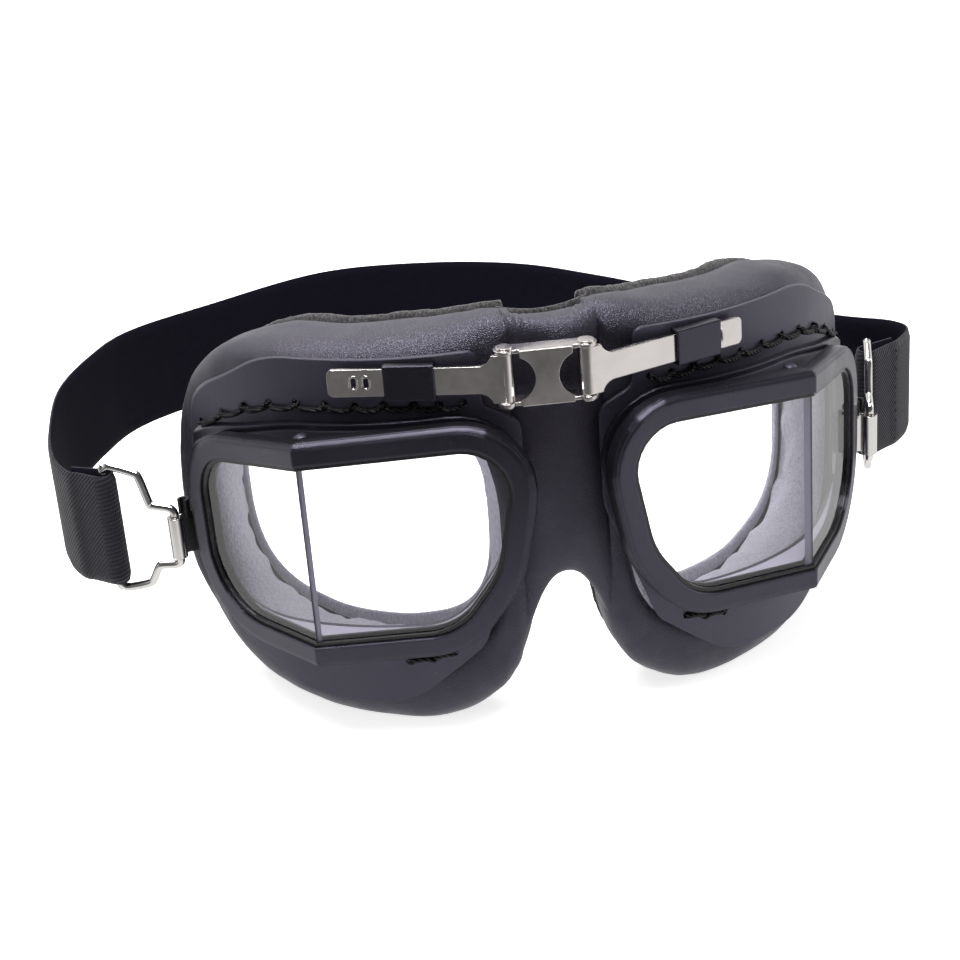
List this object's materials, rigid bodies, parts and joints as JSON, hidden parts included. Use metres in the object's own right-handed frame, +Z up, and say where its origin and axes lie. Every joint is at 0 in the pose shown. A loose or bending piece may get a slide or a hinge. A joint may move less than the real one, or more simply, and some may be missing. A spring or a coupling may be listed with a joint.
{
  "type": "aviator goggles",
  "caption": "Folded-pane flying goggles: metal eyepieces on a leather face pad, hinged sliding bridge, wire loops and elastic head strap.",
  "frame": {"origin": "centre of the bounding box at the level that the pad's two lower lobes stand on", "axes": "+X towards the viewer's right when looking at the lenses, +Y from the lenses towards the back of the head strap, +Z up; the hinge pins and hook tubes are parallel to Z"},
  "size_m": [0.217, 0.1862, 0.0971],
  "materials": {
    "pad_leather": "black soft-grained leather with a low sheen",
    "lining_felt": "matt dark felt",
    "black_metal": "satin black enamel on metal",
    "gasket_rubber": "matt black",
    "lens_glass": "clear flat glass",
    "black_thread": "waxed black thread",
    "nickel_plate": "polished nickel plate",
    "strap_webbing": "blue-black ribbed elastic webbing"
  },
  "bodies": {
    "bridge": {"bridge_link": "nickel_plate", "hinge_pin_left": "nickel_plate", "hinge_pin_right": "nickel_plate", "nose_pad": "pad_leather", "nose_lining": "lining_felt", "head_strap": "strap_webbing", "strap_stitching": "black_thread"},
    "arm_left": {"bridge_arm_left": "nickel_plate"},
    "arm_right": {"bridge_arm_right": "nickel_plate"},
    "eyepiece_left": {"face_pad_left": "pad_leather", "pad_lining_left": "lining_felt", "base_plate_left": "black_metal", "eyecup_left": "black_metal", "cup_stud_left": "black_metal", "lens_rim_left": "black_metal", "lens_gasket_left": "gasket_rubber", "front_pane_left": "lens_glass", "side_pane_left": "lens_glass", "lacing_left": "black_thread", "arm_keeper_left": "black_metal", "side_hook_left": "nickel_plate"},
    "eyepiece_right": {"face_pad_right": "pad_leather", "pad_lining_right": "lining_felt", "base_plate_right": "black_metal", "eyecup_right": "black_metal", "cup_stud_right": "black_metal", "lens_rim_right": "black_metal", "lens_gasket_right": "gasket_rubber", "front_pane_right": "lens_glass", "side_pane_right": "lens_glass", "lacing_right": "black_thread", "arm_keeper_right": "black_metal", "side_hook_right": "nickel_plate"},
    "wire_left": {"wire_loop_left": "nickel_plate"},
    "wire_right": {"wire_loop_right": "nickel_plate"}
  },
  "joints": [
    {"name": "bridge_hinge_left", "type": "hinge", "parent": "bridge", "child": "arm_left", "pos_m": [-0.00808, -0.08267, 0.0869], "axis": [0, 0, 1], "range_deg": [-15, 12], "stiffness_Nm_per_rad": 0.2, "deforming": ["nose_pad", "nose_lining", "head_strap", "strap_stitching"]},
    {"name": "bridge_hinge_right", "type": "hinge", "parent": "bridge", "child": "arm_right", "pos_m": [0.00918, -0.08457, 0.0869], "axis": [0, 0, 1], "range_deg": [-12, 15], "stiffness_Nm_per_rad": 0.2, "deforming": ["nose_pad", "nose_lining", "head_strap", "strap_stitching"]},
    {"name": "arm_slide_left", "type": "slide", "parent": "arm_left", "child": "eyepiece_left", "axis": [-0.9533, 0.3019, 0], "range_m": [-0.0025, 0.008], "deforming": ["nose_pad", "nose_lining", "head_strap", "strap_stitching"]},
    {"name": "arm_slide_right", "type": "slide", "parent": "arm_right", "child": "eyepiece_right", "axis": [0.9533, 0.3019, 0], "range_m": [-0.006, 0.005], "deforming": ["nose_pad", "nose_lining", "head_strap", "strap_stitching"]},
    {"name": "wire_swing_left", "type": "hinge", "parent": "eyepiece_left", "child": "wire_left", "pos_m": [-0.08095, -0.0409, 0.0413], "axis": [0, 0, 1], "range_deg": [-65, 35], "deforming": ["head_strap", "strap_stitching"]},
    {"name": "wire_swing_right", "type": "hinge", "parent": "eyepiece_right", "child": "wire_right", "pos_m": [0.08805, -0.0409, 0.0413], "axis": [0, 0, 1], "range_deg": [-82, 18], "deforming": ["head_strap", "strap_stitching"]}
  ]
}
